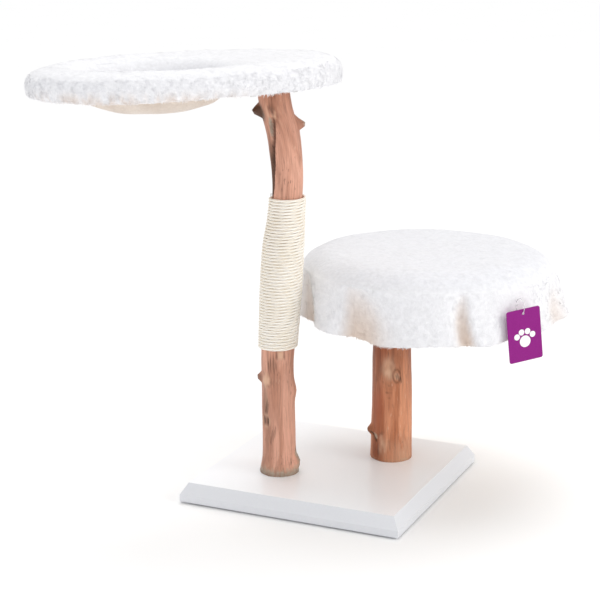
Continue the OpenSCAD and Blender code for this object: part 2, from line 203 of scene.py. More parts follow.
# one wide soft light from above and behind, even over the whole floor
bpy.ops.object.light_add(type="SUN", location=(0.5, 0.8, 3))
topLight = bpy.context.object
topLight.name = "topLight"
topLight.rotation_euler = (math.radians(-24), math.radians(10), 0)
topLight.data.energy = 1.25
topLight.data.angle = math.radians(50)

world = bpy.data.worlds.new("studio")
scene.world = world
world.use_nodes = True
world.node_tree.nodes["Background"].inputs["Color"].default_value = (1.0, 1.0, 1.0, 1)
world.node_tree.nodes["Background"].inputs["Strength"].default_value = 0.70
scene.view_settings.view_transform = "Standard"
print("camera and lights are set")


# materials

def newGroup(name, ins, outs):
    group = bpy.data.node_groups.new(name, "ShaderNodeTree")
    for way, sockets in (("INPUT", ins), ("OUTPUT", outs)):
        for label, kind in sockets.items():
            group.interface.new_socket(label, in_out=way, socket_type="NodeSocket" + kind)
    return group, group.nodes.new("NodeGroupInput").outputs, group.nodes.new("NodeGroupOutput").inputs


def feed(socket, value):
    # a plain value, or another node's output
    if isinstance(value, bpy.types.NodeSocket):
        socket.id_data.links.new(value, socket)
    else:
        socket.default_value = value


def addNode(tree, kind, settings=None, inputs=None):
    node = tree.nodes.new(kind)
    for key, value in (settings or {}).items():
        setattr(node, key, value)
    for key, value in (inputs or {}).items():
        feed(node.inputs[key], value)
    return node


def mathNode(tree, operation, one, two, clamp=False):
    settings = {"operation": operation, "use_clamp": clamp}
    return addNode(tree, "ShaderNodeMath", settings, {0: one, 1: two}).outputs[0]


def times(tree, one, two):
    return mathNode(tree, "MULTIPLY", one, two)


def plus(tree, one, two):
    return mathNode(tree, "ADD", one, two)


def mixColour(tree, factor, one, two, blend="MIX"):
    settings = {"data_type": "RGBA", "blend_type": blend}
    return addNode(tree, "ShaderNodeMix", settings, {0: factor, 6: one, 7: two}).outputs[2]


def rampNode(tree, factor, *stops):
    # two stops, each a place and a colour, or a place and one number for a grey
    node = addNode(tree, "ShaderNodeValToRGB", None, {0: factor})
    for element, (at, colour) in zip(node.color_ramp.elements, stops):
        element.position = at
        element.color = (*colour, 1) if isinstance(colour, tuple) else (colour, colour, colour, 1)
    return node.outputs[0]


def noiseTex(tree, vector, scale, detail=2.0, rough=0.5, twist=0.0):
    inputs = {"Vector": vector, "Scale": scale, "Detail": detail, "Roughness": rough, "Distortion": twist}
    return addNode(tree, "ShaderNodeTexNoise", None, inputs).outputs["Fac"]


def newMaterial(name, settings):
    mat = bpy.data.materials.new(name)
    mat.use_nodes = True
    shader = mat.node_tree.nodes["Principled BSDF"]
    for key, value in settings.items():
        feed(shader.inputs[key], value)
    return mat, mat.node_tree, shader


def bumpTo(tree, shader, height, strength, distance, after=None):
    inputs = {"Strength": strength, "Distance": distance, "Height": height}
    if after:
        inputs["Normal"] = after
    node = addNode(tree, "ShaderNodeBump", None, inputs)
    feed(shader.inputs["Normal"], node.outputs[0])
    return node.outputs[0]


def makeFleeceGroup():
    # soft tufts: big clumps, small curls, and thin lines of single hairs
    g, given, out = newGroup(
        "fleece", {"Vector": "Vector", "Light": "Color", "Shade": "Color", "Tuft Size": "Float"},
        {"Color": "Color", "Height": "Float"},
    )
    place, size = given["Vector"], given["Tuft Size"]
    clump = noiseTex(g, place, times(g, size, 0.4), 3.0, 0.55, 0.4)
    wobble = addNode(g, "ShaderNodeTexNoise", None, {"Vector": place, "Scale": 260.0, "Detail": 2.0})
    moved = addNode(g, "ShaderNodeVectorMath", {"operation": "MULTIPLY_ADD"},
                    {0: wobble.outputs["Color"], 1: (0.006, 0.006, 0.006), 2: place})
    curl = addNode(g, "ShaderNodeTexVoronoi", {"feature": "SMOOTH_F1"},
                   {"Vector": moved.outputs[0], "Scale": size, "Smoothness": 0.8})
    hair = noiseTex(g, place, 900.0, 2.0, 0.7)
    low = mathNode(g, "SUBTRACT", 1.0, curl.outputs["Distance"], True)
    height = plus(g, times(g, low, 0.5), times(g, clump, 0.7))
    height = plus(g, height, times(g, hair, 0.35))
    feed(out["Height"], height)
    # painted shade: the low places between tufts take the Shade colour, the high ones the Light colour
    paintedShadeMix = rampNode(g, height, (0.55, 0), (0.95, 1))
    feed(out["Color"], mixColour(g, paintedShadeMix, given["Shade"], given["Light"]))
    return g


def makeGrainGroup():
    # long wood grain that runs along Z of the given vector
    g, given, out = newGroup(
        "woodGrain", {"Vector": "Vector", "Light": "Color", "Mid": "Color", "Dark": "Color", "Streaks": "Float"},
        {"Color": "Color", "Height": "Float", "Roughness": "Float"},
    )

    def stretched(share, *settings):
        place = addNode(g, "ShaderNodeMapping", None, {"Vector": given["Vector"], "Scale": (1, 1, share)})
        return noiseTex(g, place.outputs[0], *settings)

    broad = stretched(0.16, 42.0, 3.0, 0.5, 0.6)
    streak = stretched(0.07, 130.0, 4.0, 0.6, 0.3)
    fine = stretched(0.05, 480.0, 3.0, 0.6)
    cloud = stretched(0.6, 18.0, 2.0, 0.5)
    fleck = stretched(0.22, 330.0, 2.0, 0.5)
    colour = mixColour(g, rampNode(g, broad, (0.40, 0), (0.58, 1)), given["Mid"], given["Light"])
    lines = rampNode(g, streak, (0.34, 1), (0.47, 0))
    some = rampNode(g, cloud, (0.4, 0.25), (0.62, 1))
    colour = mixColour(g, times(g, times(g, lines, some), given["Streaks"]), colour, given["Dark"])
    spots = rampNode(g, fleck, (0.26, 1), (0.38, 0))
    colour = mixColour(g, times(g, times(g, spots, some), 0.75), colour, given["Dark"])
    shine = rampNode(g, fleck, (0.64, 0), (0.78, 1))
    colour = mixColour(g, times(g, shine, 0.4), colour, (0.80, 0.56, 0.42, 1))
    hairs = rampNode(g, fine, (0.3, (0.72, 0.7, 0.68)), (0.6, 1.06))
    feed(out["Color"], mixColour(g, 0.8, colour, hairs, "MULTIPLY"))
    feed(out["Height"], plus(g, times(g, streak, 0.7), times(g, fine, 0.45)))
    feed(out["Roughness"], plus(g, times(g, broad, 0.25), 0.42))
    return g


fleeceGroup = makeFleeceGroup()
grainGroup = makeGrainGroup()


def placeGroup(tree, group, vector, inputs):
    return addNode(tree, "ShaderNodeGroup", {"node_tree": group}, {"Vector": vector, **inputs}).outputs


def objectCoords(tree):
    return addNode(tree, "ShaderNodeTexCoord").outputs["Object"]


def readAttribute(tree, name, output="Fac"):
    return addNode(tree, "ShaderNodeAttribute", {"attribute_name": name}).outputs[output]


# painted shade: warm beige laid into the plush's folds and low on the lounge's rim
paintedShadeTone = (0.72, 0.59, 0.50, 1)
paintedTopShadeTone = (0.87, 0.875, 0.89, 1)      # painted shade: level tops of the plush are made a shade greyer than the sides


def colourPlush(tree, shader, colour):
    # painted shade: mixes in the warm beige of the fold and rim shade
    colour = mixColour(tree, readAttribute(tree, "paintedShade"), colour, paintedShadeTone)
    colour = mixColour(tree, readAttribute(tree, "paintedTopShade"), colour, paintedTopShadeTone, "MULTIPLY")
    feed(shader.inputs["Base Color"], colour)


plushMat, plushTree, plushShader = newMaterial("creamPlush", {
    "Roughness": 0.95, "Specular IOR Level": 0.12, "Sheen Weight": 0.35, "Sheen Roughness": 0.55,
    "Sheen Tint": (1.0, 0.99, 0.97, 1),
})
fleece = placeGroup(plushTree, fleeceGroup, objectCoords(plushTree),
                    {"Light": (0.885, 0.885, 0.91, 1), "Shade": (0.80, 0.80, 0.82, 1), "Tuft Size": 190.0})
colourPlush(plushTree, plushShader, fleece["Color"])
bumpTo(plushTree, plushShader, fleece["Height"], 0.4, 0.002)

pileMat, pileTree, pileShader = newMaterial("plushPile", {
    "Roughness": 0.9, "Specular IOR Level": 0.1, "Sheen Weight": 0.3, "Sheen Roughness": 0.5,
})
pileTone = noiseTex(pileTree, objectCoords(pileTree), 60.0, 3.0)
pileWhite = rampNode(pileTree, pileTone, (0.35, (0.86, 0.86, 0.88)), (0.62, (0.915, 0.915, 0.94)))
colourPlush(pileTree, pileShader, pileWhite)

suedeMat, suedeTree, suedeShader = newMaterial("beigeSuede", {
    "Roughness": 0.85, "Specular IOR Level": 0.2, "Sheen Weight": 0.25, "Sheen Roughness": 0.4,
})
suedeNap = noiseTex(suedeTree, objectCoords(suedeTree), 380.0, 5.0, 0.7)
suedeCloud = noiseTex(suedeTree, objectCoords(suedeTree), 26.0, 3.0)
suedeTone = rampNode(suedeTree, suedeCloud, (0.3, (0.68, 0.58, 0.50)), (0.7, (0.78, 0.69, 0.61)))
suedeFine = rampNode(suedeTree, suedeNap, (0.3, 0.82), (0.7, 1.05))
feed(suedeShader.inputs["Base Color"], mixColour(suedeTree, 1.0, suedeTone, suedeFine, "MULTIPLY"))
bumpTo(suedeTree, suedeShader, suedeNap, 0.35, 0.0008)


def makeTrunkMaterial(name, light, mid, dark, bark, streaks):
    finish = {"Specular IOR Level": 0.3, "Coat Weight": 0.06, "Coat Roughness": 0.4}
    mat, tree, shader = newMaterial(name, finish)
    place = readAttribute(tree, "grain", "Vector")
    tones = {"Light": light, "Mid": mid, "Dark": dark, "Streaks": streaks}
    grain = placeGroup(tree, grainGroup, place, tones)
    colour = grain["Color"]

    def paint(attribute, amount, tint, blend="MIX"):
        share = mathNode(tree, "MULTIPLY", readAttribute(tree, attribute), amount, True)
        return mixColour(tree, share, colour, tint, blend)

    # painted shade, multiplied in from the shade mask
    colour = paint("shade", 0.95, (0.42, 0.29, 0.22, 1), "MULTIPLY")
    colour = paint("red", 0.8, (0.40, 0.105, 0.045, 1))
    colour = paint("pale", 0.72, (0.76, 0.50, 0.34, 1))
    flakes = noiseTex(tree, place, 160.0, 5.0, 0.65)
    barkTone = rampNode(tree, flakes, (0.35, tuple(0.5 * c for c in bark)), (0.65, bark))
    barkEdge = times(tree, mathNode(tree, "SUBTRACT", flakes, 0.5), 1.1)
    barkMask = rampNode(tree, plus(tree, readAttribute(tree, "bark"), barkEdge), (0.25, 0), (0.75, 1))
    colour = mixColour(tree, times(tree, barkMask, 0.8), colour, barkTone)
    # dark cracks and knots, and painted shade beside the tall trunk's crack
    colour = paint("dark", 0.92, (0.06, 0.026, 0.012, 1))
    feed(shader.inputs["Base Color"], colour)
    feed(shader.inputs["Roughness"], grain["Roughness"])
    first = bumpTo(tree, shader, grain["Height"], 0.6, 0.0014)
    bumpTo(tree, shader, flakes, 0.3, 0.0008, first)
    return mat


tallMat = makeTrunkMaterial("tallTrunkWood", (0.70, 0.365, 0.262, 1), (0.50, 0.235, 0.155, 1),
                            (0.16, 0.075, 0.045, 1), (0.42, 0.37, 0.29), 0.5)
shortMat = makeTrunkMaterial("shortTrunkWood", (0.68, 0.29, 0.155, 1), (0.47, 0.165, 0.075, 1),
                             (0.14, 0.055, 0.028, 1), (0.50, 0.38, 0.27), 0.65)

ropeMat, ropeTree, ropeShader = newMaterial("sisalYarn", {"Roughness": 0.88, "Specular IOR Level": 0.2})
ropeAlong = addNode(ropeTree, "ShaderNodeUVMap", {"uv_map": "along"}).outputs[0]
ropePlace = addNode(ropeTree, "ShaderNodeMapping", None,
                    {"Vector": ropeAlong, "Scale": (260.0, 34.0, 1.0), "Rotation": (0, 0, 0.5)})
ropeFibre = noiseTex(ropeTree, ropePlace.outputs[0], 1.0, 4.0, 0.7)
ropeCloud = noiseTex(ropeTree, objectCoords(ropeTree), 35.0, 3.0)
ropeTone = rampNode(ropeTree, ropeCloud, (0.3, (0.95, 0.91, 0.84)), (0.7, (0.99, 0.97, 0.935)))
ropeFine = rampNode(ropeTree, ropeFibre, (0.3, (0.90, 0.88, 0.83)), (0.62, 1.04))
# painted shade in the crevices between strands
ropeCreviceShade = rampNode(ropeTree, readAttribute(ropeTree, "paintedShadeMix"), (0.0, 1), (1.0, (0.83, 0.75, 0.64)))
ropeColour = mixColour(ropeTree, 1.0, ropeTone, ropeFine, "MULTIPLY")
feed(ropeShader.inputs["Base Color"], mixColour(ropeTree, 1.0, ropeColour, ropeCreviceShade, "MULTIPLY"))
bumpTo(ropeTree, ropeShader, ropeFibre, 0.5, 0.0006)
print("main materials are made")


# trunks

tallTrunk = {
    "sides": 160, "rings": 430, "d": 56.0, "length": tree["tallLen"], "x": tree["tallX"],
    # share of the length, bend along X, diameter over the mean
    "line": [(0, 0, 1.25), (0.035, 0, 1.04), (0.13, -1, 1), (0.29, -3.5, 0.97), (0.38, 0, 1.04),
             (0.48, 4, 1.11), (0.59, 8.5, 1.1), (0.66, 14, 0.97), (0.72, 17, 0.93), (0.78, 17, 0.96),
             (0.87, 10, 1.02), (0.94, -4, 1), (1, -9, 0.98)],
    # angle, height, out, half width, roundness
    "stubs": [(160, 632, 14, 8.5, 4.5), (-22, 611, 14, 8.5, 3.0), (157, 172, 8, 6.0, 3.2),
              (-25, 150, 4, 14, 2), (-30, 20, 6, 11, 2.4), (-96, 212, 2.5, 9, 4), (-159, 168, 3, 9, 4)],
}
shortTrunk = {
    "sides": 160, "rings": 250, "d": 69.0, "length": tree["shortLen"], "x": tree["shortX"],
    "line": [(0, 0, 1.08), (0.1, 0, 1.04), (0.3, 0.5, 1), (0.6, -1, 0.96), (1, 0, 0.96)],
    "stubs": [(-95, 153, 2.5, 11, 4), (-125, 156, 3, 13, 2), (165, 52, 8, 8, 2.6)],
}


def easedLine(line, k, s, r=0.02):
    at = [row[0] for row in line]
    val = [row[k] for row in line]
    return (np.interp(s - r, at, val) + 2 * np.interp(s, at, val) + np.interp(s + r, at, val)) / 4


def trunkRadius(trunk, a, z):
    # the CAD's own radius, in millimetres, for angles in degrees and heights over the foot
    r = trunk["d"] / 2 * easedLine(trunk["line"], 2, z / trunk["length"])
    return r * (1 + 0.02 * np.cos(np.radians(2 * a + z / 3)) + 0.015 * np.cos(np.radians(3 * a - z / 5)))


def makeTrunk(name, trunk, mat, paint, node):
    deselectAll()
    length = trunk["length"]
    bpy.ops.mesh.primitive_cylinder_add(
        vertices=trunk["sides"], radius=1.0, depth=length, end_fill_type="NOTHING",
        location=(0, 0, length / 2)
    )
    obj = newPiece(name)
    bpy.ops.object.transform_apply(location=True)
    bpy.ops.object.mode_set(mode="EDIT")      # cut the sides into rings
    bpy.ops.mesh.select_all(action="DESELECT")
    bm = bmesh.from_edit_mesh(obj.data)
    for edge in bm.edges:
        edge.select_set(abs(edge.verts[0].co.z - edge.verts[1].co.z) > 1)
    bmesh.update_edit_mesh(obj.data)
    bpy.ops.mesh.subdivide(number_cuts=trunk["rings"])
    bpy.ops.object.mode_set(mode="OBJECT")
    co = getPoints(obj)
    a = np.degrees(np.arctan2(co[:, 1], co[:, 0]))
    z = co[:, 2].copy()
    cosA, sinA = np.cos(np.radians(a)), np.sin(np.radians(a))
    base = trunkRadius(trunk, a, z)
    r = base.copy()
    for angle, height, out, wide, power in trunk["stubs"]:
        far = np.hypot(apart(a, angle) * math.pi / 180 * base, z - height)
        r += out * bump(far, wide, power)
    straight = np.stack([base * cosA, base * sinA, z], 1) * 0.001
    # worn ridges and hollows that run up the trunk
    r += 1.1 * noiseAt(straight, (38, 38, 7), 1, 2) + 0.55 * noiseAt(straight, (95, 95, 9), 2, 3)
    r += 0.28 * noiseAt(straight, (260, 260, 26), 3, 2)
    masks = {key: np.zeros(len(a)) for key in ("dark", "pale", "bark", "shade", "red")}
    r = paint(a, z, r, base, masks, straight)
    bend = easedLine(trunk["line"], 1, z / length)
    co[:, 0] = trunk["x"] + bend + r * cosA
    co[:, 1] = r * sinA
    co[:, 2] = tree["plateZ"] + z
    setPoints(obj, co * 0.001)
    addVector(obj, "grain", straight)
    for key, values in masks.items():
        addFloat(obj, key, np.clip(values, 0, 1))
    bpy.ops.object.mode_set(mode="EDIT")      # close both ends
    bpy.ops.mesh.select_all(action="DESELECT")
    bpy.ops.mesh.select_mode(type="EDGE")
    bpy.ops.mesh.select_non_manifold()
    bpy.ops.mesh.fill_holes(sides=0)
    bpy.ops.object.mode_set(mode="OBJECT")
    bpy.ops.object.shade_smooth_by_angle(angle=math.radians(50))
    setMaterials(obj, mat)
    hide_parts(node)
    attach(obj, "tree")
    return obj


def knotRing(a, z, base, angle, height, size, tall=1.0):
    # how far each point is from a knot's centre, in knot sizes
    return np.hypot(apart(a, angle) * math.pi / 180 * base / size, (z - height) / (size * tall))


def lineMask(a, z, base, start, end, wide, wiggle=0.0):
    # a line on the bark between two points given as (angle, height); 1 on it, 0 away from it
    sx = ((a - start[0] + 180) % 360 - 180) * math.pi / 180 * base
    ex = ((end[0] - start[0] + 180) % 360 - 180) * math.pi / 180 * base
    dz = end[1] - start[1]
    long = np.hypot(ex, dz)
    t = (sx * ex + (z - start[1]) * dz) / long ** 2
    off = (sx * dz - (z - start[1]) * ex) / long + wiggle
    taper = np.clip(1.3 * np.sin(np.clip(t, 0, 1) * math.pi) ** 0.5, 0.01, 1)
    return bump(off, wide * taper, 2.5) * ((t > 0) & (t < 1))


def paintTall(a, z, r, base, masks, p):
    def ring(*spot):
        return knotRing(a, z, base, *spot)

    def line(*ends):
        return lineMask(a, z, base, *ends)

    dark, pale, bark, shade = [masks[key] for key in ("dark", "pale", "bark", "shade")]
    wiggle = 2.2 * noiseAt(p, (20, 20, 30), 5, 2)
    flecks = noiseAt(p, (150, 150, 60), 7, 2)
    # painted shade: the top of the trunk darkens under the lounge
    shade += 0.34 * ease(z, 520, 640)
    # the long open crack down the upper left
    path = np.interp(z, [476, 493, 517, 545, 575, 603, 620, 632], [174, 179, 187, 199, 210, 225, 233, 237])
    path = (path + 180) % 360 - 180
    side = ((a - path + 180) % 360 - 180) * math.pi / 180 * base + wiggle * 0.5
    along = ease(z, 470, 495) * (1 - ease(z, 614, 630))
    wide = np.interp(z, [480, 520, 560, 600, 625], [5.2, 5.4, 4.0, 3.0, 2.4])
    groove = bump(side + wide * 0.5, wide, 3.0) * along
    r = r - 6.5 * groove + 1.8 * bump(side - wide * 0.9, 2.6) * along
    dark += bump(side + wide * 0.45, wide * 0.9, 3.0) * along
    # painted shade in a strip left of the crack's lower part
    dark += 0.9 * bump(side + 9, 8, 3) * ease(z, 478, 492) * (1 - ease(z, 545, 600))
    bark += bump(side + 6.5, 3.6) * bump(z - 607, 19, 3)
    dark -= 0.75 * bump(side + 6.5, 3.4) * bump(z - 607, 17, 3)
    # a rough knot over the crack's top end, with bright and dark flecks
    near = bump(ring(-128, 630, 11, 1.3), 1.0, 2)
    dark += near * np.clip(flecks * 2.4 + 0.05, 0, 0.9)
    pale += near * np.clip(-flecks * 3.0, 0, 1.0)
    r = r + 2.2 * near * flecks + 1.2 * near
    # short splits at the very top
    for angle, low in ((-112, 655), (-122, 662), (-98, 662), (-84, 660)):
        dark += 0.6 * line((angle, 690), (angle + 2, low), 1.5, wiggle * 0.3)
    # sawn stub ends
    far = ring(165, 630, 13)
    dark += 1.4 * bump(far, 1.2, 4)
    bark += 0.5 * bump(far - 1.1, 0.35)
    far = ring(-20, 612, 7.5)
    bark += 0.75 * bump(far, 0.9, 4)
    dark += 0.35 * bump(far - 1.0, 0.3)
    # knots under the rope
    far = ring(-101, 219, 7.2, 1.1) + 0.08 * wiggle
    broken = 0.5 + 0.5 * np.cos(np.radians(apart(a, -101) * 2 + (z - 210) * 5))
    dark += 0.85 * bump(far - 0.95, 0.17) * broken
    pale += 0.9 * bump(far, 0.75, 4)
    r = r - 1.4 * bump(far - 0.98, 0.18) + 1.2 * bump(far, 0.7, 4)
    far = ring(-155, 172, 9.5, 1.25) + 0.05 * wiggle
    pale += bump(far, 0.9, 4)
    dark += 0.3 * bump(far - 1.1, 0.16)
    r = r - bump(far - 1.1, 0.16) + bump(far, 0.8, 4)
    far = ring(157, 172, 8)
    dark += 0.72 * bump(far, 0.95, 4)
    bark += 0.4 * bump(far - 1.0, 0.4)
    far = ring(-162, 98, 7.5, 1.0) + 0.08 * wiggle
    dark += 0.85 * bump(far - 0.85, 0.22) + 0.45 * bump(far, 0.6)
    pale += 0.6 * bump(far - 1.3, 0.3)
    r = r - 1.4 * bump(far - 0.85, 0.3)
    dark += 0.4 * bump(ring(-166, 120, 7, 5.0), 1.0, 2)      # brown, scraped left side
    pale += 0.5 * bump(ring(-158, 132, 4, 6.0), 1.0, 2)
    for start, end, wide in (
        ((-151, 136), (-168, 110), 1.7), ((-146, 130), (-158, 112), 1.3), ((-121, 90), (-130, 66), 1.4),
        ((-129, 88), (-142, 54), 1.4), ((-126, 216), (-121, 186), 1.4), ((-138, 212), (-134, 186), 1.4),
        ((-117, 206), (-114, 190), 1.2), ((-146, 208), (-142, 184), 1.2),
    ):
        on = line(start, end, wide, wiggle * 0.35)
        dark += 0.55 * on
        r = r - 0.9 * on
    # weathered foot with a scrap of bark
    pale += 0.55 * (1 - ease(z, 6, 24 + 6 * flecks)) * (0.6 + flecks)
    bark += 0.75 * (1 - ease(z, 3, 22 + 10 * flecks))
    scrap = bump(ring(-24, 30, 11, 1.7), 0.9, 3)
    bark += scrap
    r = r + scrap * 1.8 * flecks + 0.6 * flecks * (1 - ease(z, 10, 30))
    dark += 0.6 * bump(ring(-26, 40, 6), 0.6) + 0.3 * (1 - ease(z, 0, 3))
    dark += 0.35 * bump(ring(175, 22, 12, 1.8), 0.8)
    return r


def paintShort(a, z, r, base, masks, p):
    def ring(*spot):
        return knotRing(a, z, base, *spot)

    def line(*ends):
        return lineMask(a, z, base, *ends)

    dark, pale, bark, shade, red = masks.values()
    wiggle = 2.2 * noiseAt(p, (20, 20, 30), 6, 2)
    flecks = noiseAt(p, (150, 150, 60), 8, 2)
    # painted shade under the seat and down the left side, red below the knot
    shade += 0.8 * ease(z, 120, 245) * (0.75 + 0.25 * np.cos(np.radians(a + 150)))
    shade += 0.45 * bump(apart(a, -172), 30)
    red += 0.95 * bump(ring(-161, 100, 15, 2.6), 1.0, 2)
    red += 0.5 * bump(ring(-150, 230, 14, 3.0), 1.0, 2)
    # the eye of the knot, open to the right, beside a pale boss
    far = ring(-100, 159, 7.2, 1.65) + 0.16 * wiggle + 0.1 * flecks
    broken = np.clip(0.6 + 1.6 * flecks + 0.4 * np.cos(np.radians(a * 3 + z * 4)), 0, 1)
    dark += 0.62 * bump(far - 0.95, 0.17) * broken
    pale += 0.7 * bump(far, 0.6, 4)
    r = r - 1.3 * bump(far - 0.95, 0.18) + 0.8 * bump(far, 0.7, 4)
    for start, end in (((-92, 160), (-85, 146)), ((-100, 166), (-94, 150)), ((-104, 164), (-101, 154))):
        dark += 0.6 * line(start, end, 1.4)
    far = ring(-126, 170, 11.5, 2.1) + 0.14 * wiggle
    pale += (0.75 + 0.6 * flecks) * bump(far, 0.95, 2.6)
    r = r + bump(far, 0.9, 3)
    dark += 0.3 * bump(ring(-146, 170, 5, 2.4), 0.9)
    # short sideways cracks under them
    for start, end, wide in (
        ((-150, 147), (-116, 141), 1.7), ((-143, 139), (-113, 134), 1.6), ((-135, 130), (-111, 127), 1.5),
        ((-131, 121), (-116, 119), 1.2),
    ):
        on = line(start, end, wide, wiggle * 1.6) * np.clip(0.75 + 2.5 * flecks, 0.1, 1)
        dark += 0.6 * on
        r = r - 1.1 * on
    # the broken stub low on the left, the crack under it, and a pale boss with a rim
    far = ring(178, 50, 8, 1.0)
    dark += 0.6 * bump(ring(167, 52, 8), 0.9, 3)
    on = line((173, 50), (-160, 33), 2.4, wiggle * 0.4)
    dark += 0.95 * on
    r = r - 2.2 * on
    bark += 0.9 * bump(ring(-168, 44, 7, 0.8), 1.0, 3)
    far = ring(-138, 27, 11.5, 1.9) + 0.14 * wiggle
    pale += (0.4 + 0.5 * flecks) * bump(far, 0.9, 4)
    broken = np.clip(0.5 + 2 * flecks - 0.5 * np.cos(np.radians(a + 60)), 0, 1)
    dark += 0.42 * bump(far - 1.05, 0.14) * (z > 12) * broken
    # painted shade low on the left
    shade += 0.5 * bump(ring(-160, 18, 12, 1.3), 1.0, 2)
    r = r + 1.6 * bump(far, 0.95, 3) - 0.6 * bump(far - 1.1, 0.15)
    pale += 0.55 * (1 - ease(z, 8, 60 + 30 * flecks)) * bump(apart(a, -75), 40)
    bark += 0.35 * (1 - ease(z, 1, 14))
    dark += 0.22 * (1 - ease(z, 0, 3))
    return r


tallObj = makeTrunk("tallTrunk", tallTrunk, tallMat, paintTall, "tall_trunk")
shortObj = makeTrunk("shortTrunk", shortTrunk, shortMat, paintShort, "short_trunk")
print("trunks are made")


# sisal rope

sisal = {"strands": 3, "lay": 21.0, "step": 1.6, "sides": 12, "start": 95.0, "squeeze": 0.97}


def makeRope():
    d, low, wrap = tree["ropeD"], tree["wrapFrom"], tree["wrapLen"]
    turns = wrap / d - 1
    mean = 0.5 * tallTrunk["d"] * 1.03 + 0.5 + d / 2
    count = int(turns * 2 * math.pi * mean / sisal["step"])
    t = np.linspace(0, 1, count)
    a = sisal["start"] + 360 * turns * t
    z = low + d / 2 + turns * d * t
    cosA, sinA = np.cos(np.radians(a)), np.sin(np.radians(a))
    r = trunkRadius(tallTrunk, a, z) + 0.5 + d / 2
    r += 0.25 * noiseAt(np.stack([cosA * 6, sinA * 6, z * 0.35], 1), 1.0, 9, 2)
    r -= 4.5 * (1 - ease(t, 0, 0.0035)) + 4.5 * ease(t, 0.9965, 1)      # both ends tuck under
    bend = easedLine(tallTrunk["line"], 1, z / tallTrunk["length"])
    out = np.stack([cosA, sinA, np.zeros(count)], 1)
    up = np.tile([0.0, 0.0, 1.0], (count, 1))
    centre = out * r[:, None] + np.stack([tree["tallX"] + bend, np.zeros(count), tree["plateZ"] + z], 1)
    length = np.concatenate([[0], np.cumsum(np.linalg.norm(np.diff(centre, axis=0), axis=1))])
    spin = 2 * math.pi * length / sisal["lay"]
    rows, paintedShadeMix, uv = [], [], []
    n = sisal["sides"]
    for j in range(n):
        th = 2 * math.pi * j / n
        lobe = np.abs(np.cos(sisal["strands"] * (th - spin / sisal["strands"]) / 2))
        rad = d / 2 * sisal["squeeze"] * (0.80 + 0.24 * lobe ** 0.7)
        rows.append(centre + out * (rad * math.cos(th))[:, None] + up * (rad * math.sin(th))[:, None])
        # painted shade mask, 1 in the crevices between strands
        paintedShadeMix.append(1 - ease(lobe, 0.0, 0.75))
        uv.append(np.stack([length / 1000, np.full(count, j / n) + length / 1000 * 12], 1))
    points = np.stack(rows, 1).reshape(-1, 3) * 0.001
    faces = [tuple(reversed(f)) for f in gridFaces(count, n)]
    faces.append(tuple(range(n)))
    faces.append(tuple((count - 1) * n + j for j in range(n - 1, -1, -1)))
    obj = meshFrom("sisalRope", points, faces)
    addFloat(obj, "paintedShadeMix", np.stack(paintedShadeMix, 1).ravel())
    layer = obj.data.uv_layers.new(name="along")
    flat = np.stack(uv, 1).reshape(-1, 2)
    index = np.zeros(len(obj.data.loops), np.int32)
    obj.data.loops.foreach_get("vertex_index", index)
    layer.data.foreach_set("uv", flat[index].astype(np.float32).ravel())
    fixNormals(obj)
    obj.data.materials.append(ropeMat)
    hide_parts("sisal_rope")
    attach(obj, "tree")
    return obj


ropeObj = makeRope()
print("rope is wound", len(ropeObj.data.polygons))

# Soft goods: the profile of each is walked by one turn of a torus or a sphere

def walk(points, t):
    # a smooth walk through the points, t from 0 to 1 by path length
    pts = np.array(points, float)
    step = np.linalg.norm(np.diff(pts, axis=0), axis=1)
    at = np.concatenate([[0], np.cumsum(step)]) / step.sum()
    return [np.interp(t, at, pts[:, k]) for k in range(pts.shape[1])]


def roundedWalk(points, radius, count=7):
    # rounds each corner of an open walk; radius is one number or one for each point
    pts = [np.array(p, float) for p in points]
    out = [pts[0]]
    for i in range(1, len(pts) - 1):
        a, b = pts[i - 1] - pts[i], pts[i + 1] - pts[i]
        la, lb = np.linalg.norm(a), np.linalg.norm(b)
        r = min(radius[i] if hasattr(radius, "__len__") else radius, la * 0.49, lb * 0.49)
        p, q = pts[i] + a / la * r, pts[i] + b / lb * r
        for k in range(count):
            t = k / (count - 1)
            out.append((1 - t) ** 2 * p + 2 * t * (1 - t) * pts[i] + t * t * q)
    out.append(pts[-1])
    return out


turn = math.radians(tree["loungeTurn"])


def loungePlace(u, v):
    # the lounge's own plan axes to the frame, in millimetres
    along = u * math.cos(turn) - v * math.sin(turn)
    return tree["loungeX"] + along, u * math.sin(turn) + v * math.cos(turn)


def ovalPoint(a, cx, length, width, more):
    return cx + (length / 2 + more) * np.cos(a), (width / 2 + more) * np.sin(a)


lounge = {
    "around": 300, "profile": 190,
    "side": 17.0, "top": 754.5, "under": 705.8, "turnedIn": 21.0, "mouthLip": 13.0,
    "lump": 0.9, "curl": 0.35,
}


